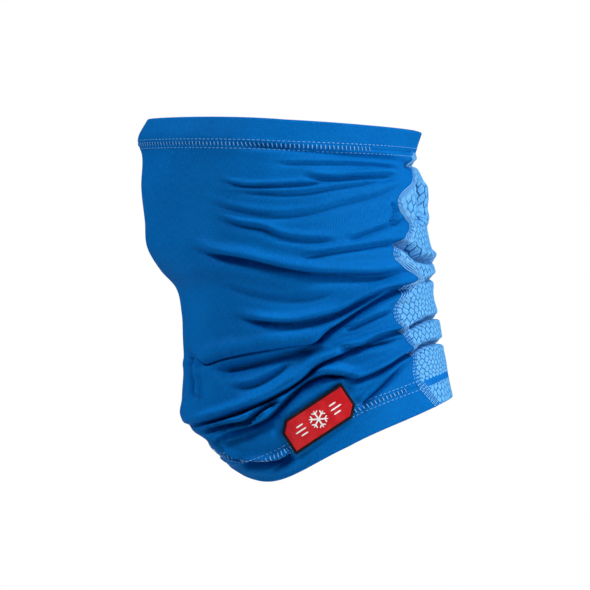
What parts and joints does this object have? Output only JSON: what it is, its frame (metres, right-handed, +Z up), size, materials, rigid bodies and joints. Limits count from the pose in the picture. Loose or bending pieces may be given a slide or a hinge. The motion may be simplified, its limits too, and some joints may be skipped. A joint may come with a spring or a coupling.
{
  "type": "neck gaiter",
  "caption": "Stretch-knit neck gaiter worn over nose and neck, with turned hems, a honeycomb-knit back panel and a plain red badge.",
  "frame": {"origin": "middle of the top opening, level with the bridge of the nose, where the head passes through", "axes": "+Z up, -Y the way that the wearer faces, +X the wearer's left"},
  "size_m": [0.1509, 0.2269, 0.2596],
  "materials": {
    "plain_knit": "smooth stretch knit with a soft sheen",
    "patterned_knit": "heathered knit with a honeycomb pattern",
    "hem_knit": "doubled stretch knit with a coverstitch",
    "badge_rubber": "matt black rubber",
    "badge_red": "satin red rubber"
  },
  "bodies": {
    "root": {"front_panel": "plain_knit", "back_panel": "patterned_knit", "top_hem": "hem_knit", "bottom_hem": "hem_knit", "badge_border": "badge_rubber", "badge_face": "badge_red"}
  },
  "joints": []
}
